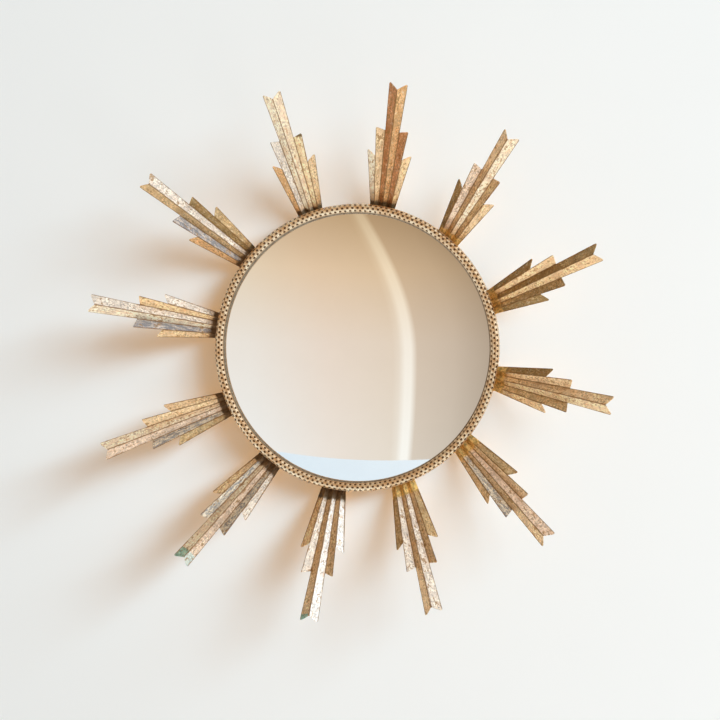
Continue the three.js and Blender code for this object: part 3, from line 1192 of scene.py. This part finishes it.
def stage_plane(name, first, second, material):
    """A flat piece of the studio, from the (y, z) places of its two long edges."""
    sides = ((-WALL_REACH, first), (WALL_REACH, first), (WALL_REACH, second), (-WALL_REACH, second))
    corners = [(x * MM, y * MM, z * MM) for x, (y, z) in sides]
    plane = add_object(name, corners, [(0, 1, 2, 3)], [material])
    return plane


def add_stage():
    """The wall behind the mirror, and the floor, which shows in reflections but neither lights nor
    shades the wall."""
    stage_plane("studio_wall", (WALL_GAP, -FLOOR_DROP), (WALL_GAP, WALL_REACH), wall_plaster())
    floor = stage_plane("studio_floor", (-FLOOR_REACH, -FLOOR_DROP), (0, -FLOOR_DROP), floor_paint())
    floor.visible_diffuse = False
    floor.visible_shadow = False


def tone_ramp(tree, degrees, stops):
    """Colours along an angle in degrees, from (angle, colour) pairs, over a ramp of a full turn."""
    share = math_node(tree, "ADD", math_node(tree, "DIVIDE", degrees, FULL_TURN), RAMP_MIDDLE)
    ramp = node(tree, "ValToRGB", {"Fac": share})
    elements = ramp.color_ramp.elements
    while len(elements) < len(stops):
        elements.new(RAMP_MIDDLE)
    for element, (angle, tone) in zip(elements, stops):
        element.position = RAMP_MIDDLE + angle / FULL_TURN
        element.color = (*tone, 1)
    return ramp.outputs["Color"]


def in_degrees(tree, radians):
    return math_node(tree, "MULTIPLY", radians, 180 / math.pi)


def room_tone(tree):
    """The tone of the room in every direction: ahead of the mirror, and at the wall's sides."""
    direction = node(tree, "TexCoord").outputs["Generated"]
    right, into_wall, up = node(tree, "SeparateXYZ", {0: direction}).outputs
    ahead = math_node(tree, "MULTIPLY", into_wall, -1.0)
    level = in_degrees(tree, math_node(tree, "ARCSINE", up, 0.0))
    turn = in_degrees(tree, math_node(tree, "ARCTAN2", right, ahead))
    above = math_node(tree, "SUBTRACT", level, BAND_LEVEL)
    off_level = math_node(tree, "MAXIMUM", above, math_node(tree, "MULTIPLY", above, BAND_LOWER))
    curve = math_node(tree, "MULTIPLY", math_node(tree, "POWER", off_level, 2.0), BAND_CURVE)
    room = tone_ramp(tree, math_node(tree, "ADD", turn, curve), ROOM_TONES)
    height = tone_ramp(tree, level, HEIGHT_TONES)
    front = mix_colour(tree, 1.0, room, height, "MULTIPLY")
    clock = in_degrees(tree, math_node(tree, "ARCTAN2", up, right))
    side = tone_ramp(tree, clock, SIDE_TONES)
    return mix_colour(tree, smooth_step(tree, ahead, *SIDE_BLEND), side, front)


def add_room_light():
    """Soft light from all around, with the tones of a plain warm room in its reflections."""
    world = bpy.data.worlds.new("soft_room")
    bpy.context.scene.world = world
    world.use_nodes = True
    tree = world.node_tree
    tree.nodes.clear()
    path = node(tree, "LightPath").outputs
    seen = node(tree, "Background", {"Color": BACKDROP_TONE, "Strength": 1.0}).outputs[0]
    direction = node(tree, "TexCoord").outputs["Generated"]
    into_wall = node(tree, "SeparateXYZ", {0: direction}).outputs[1]
    strength = smooth_step(tree, into_wall, *FILL_EDGE, *FILL_STRENGTHS)
    fill = node(tree, "Background", {"Color": FILL_TONE, "Strength": strength}).outputs[0]
    reflected = node(tree, "Background", {"Color": room_tone(tree), "Strength": 1.0}).outputs[0]
    lit = node(tree, "MixShader", {0: path["Is Glossy Ray"], 1: fill, 2: reflected}).outputs[0]
    mixed = node(tree, "MixShader", {0: path["Is Camera Ray"], 1: lit, 2: seen})
    node(tree, "OutputWorld", {"Surface": mixed.outputs[0]})


def add_area_light(name, angle, clock, distance, size, watts, tone):
    """A soft square light at an angle off the line straight ahead of the mirror, and at an angle up
    from the right around that line. Reflections don't show it."""
    data = bpy.data.lights.new(name, "AREA")
    data.size = size * MM
    data.energy = watts
    data.color = tone
    light = bpy.data.objects.new(name, data)
    bpy.context.scene.collection.objects.link(light)
    off_axis = math.sin(math.radians(angle))
    light.location = distance * MM * Vector((off_axis * math.cos(math.radians(clock)),
                                             -math.cos(math.radians(angle)),
                                             off_axis * math.sin(math.radians(clock))))
    light.rotation_mode = "QUATERNION"
    light.rotation_quaternion = (-light.location).to_track_quat("-Z", "Y")
    light.visible_glossy = False
    return data


def add_lights():
    """The window's lights, the warm front light and the bounce. The front light stands in for the
    room's own soft light, so it casts no shadow."""
    for angle, watts in WINDOW_LIGHTS:
        add_area_light(f"window_light_{angle}", angle, WINDOW_CLOCK, WINDOW_DISTANCE, WINDOW_SIZE, watts,
                       WINDOW_TONE)
    front_light = add_area_light("front_light", *FRONT_LIGHT, FRONT_TONE)
    front_light.use_shadow = False
    add_area_light("bounce_light", *BOUNCE_LIGHT, BOUNCE_TONE)


def add_camera():
    """The camera, a little to the right of the mirror and above its middle."""
    azimuth = math.radians(CAMERA_AZIMUTH)
    elevation = math.radians(CAMERA_ELEVATION)
    back = Vector((math.sin(azimuth) * math.cos(elevation),
                   -math.cos(azimuth) * math.cos(elevation),
                   math.sin(elevation)))
    right = Vector((math.cos(azimuth), math.sin(azimuth), 0))
    up = back.cross(right)
    centre = Vector((0, -seat_depth, 0))
    aim = centre + CAMERA_AIM[0] * right + CAMERA_AIM[1] * up
    place = centre + CAMERA_DISTANCE * back
    data = bpy.data.cameras.new("camera")
    data.lens = CAMERA_LENS
    camera = bpy.data.objects.new("camera", data)
    bpy.context.scene.collection.objects.link(camera)
    camera.location = place * MM
    camera.rotation_mode = "QUATERNION"
    camera.rotation_quaternion = (aim - place).to_track_quat("-Z", "Y")
    bpy.context.scene.camera = camera


add_camera()
add_pan()
add_glass()
add_rim()
leaf_material = gilt_leaf()
for ray_number in range(RAY_COUNT):
    add_ray(ray_number, leaf_material)
add_stage()
add_room_light()
add_lights()
bpy.context.scene.view_settings.view_transform = "Standard"
